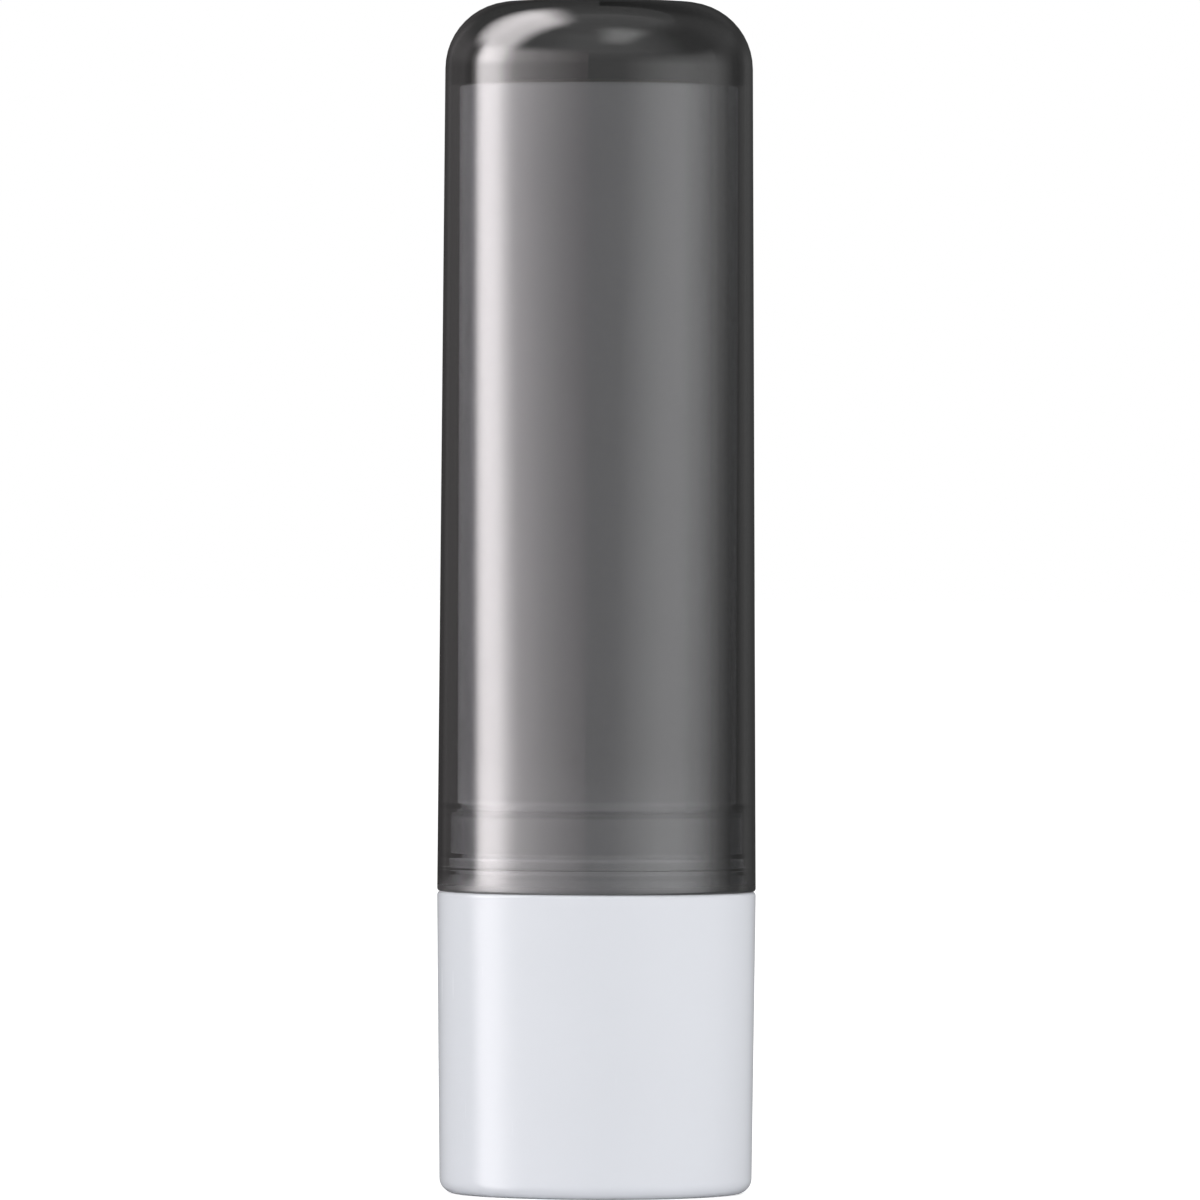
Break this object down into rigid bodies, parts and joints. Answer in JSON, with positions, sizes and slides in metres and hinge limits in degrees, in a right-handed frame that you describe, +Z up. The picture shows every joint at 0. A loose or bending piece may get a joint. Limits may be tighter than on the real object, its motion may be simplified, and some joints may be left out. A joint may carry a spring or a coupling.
{
  "type": "lip balm stick",
  "caption": "Closed lip balm stick with a clear smoked cap over a straight white tube, and a turning base that raises the balm on a lead screw.",
  "frame": {"origin": "centre of the base's foot, on the surface that the stick stands on", "axes": "+Z up along the stick's axis, towards the cap's top; X and Y across, and round pieces look alike from both"},
  "size_m": [0.019, 0.019, 0.071],
  "materials": {
    "smoked_cap": "clear smoked, polished",
    "white_tube": "polished",
    "white_base": "polished",
    "screw_plastic": "moulded",
    "carrier_plastic": "moulded",
    "balm_wax": "waxy"
  },
  "bodies": {
    "tube": {"inner_tube": "white_tube"},
    "base": {"turn_base": "white_base", "spindle": "screw_plastic"},
    "carrier": {"balm_carrier": "carrier_plastic", "balm": "balm_wax"},
    "cap": {"cap": "smoked_cap"}
  },
  "joints": [
    {"name": "base_turn", "type": "hinge", "parent": "tube", "child": "base", "pos_m": [0, 0, 0.009], "axis": [0, 0, 1], "range_deg": [0, 2160]},
    {"name": "carrier_lift", "type": "slide", "parent": "tube", "child": "carrier", "axis": [0, 0, 1], "range_m": [0, 0.039]},
    {"name": "cap_pull", "type": "slide", "parent": "carrier", "child": "cap", "axis": [0, 0, 1], "range_m": [0, 0.055]}
  ],
  "couplings": [
    {"joint": "base_turn", "follows": "carrier_lift", "rad_per_m": 966.64}
  ]
}
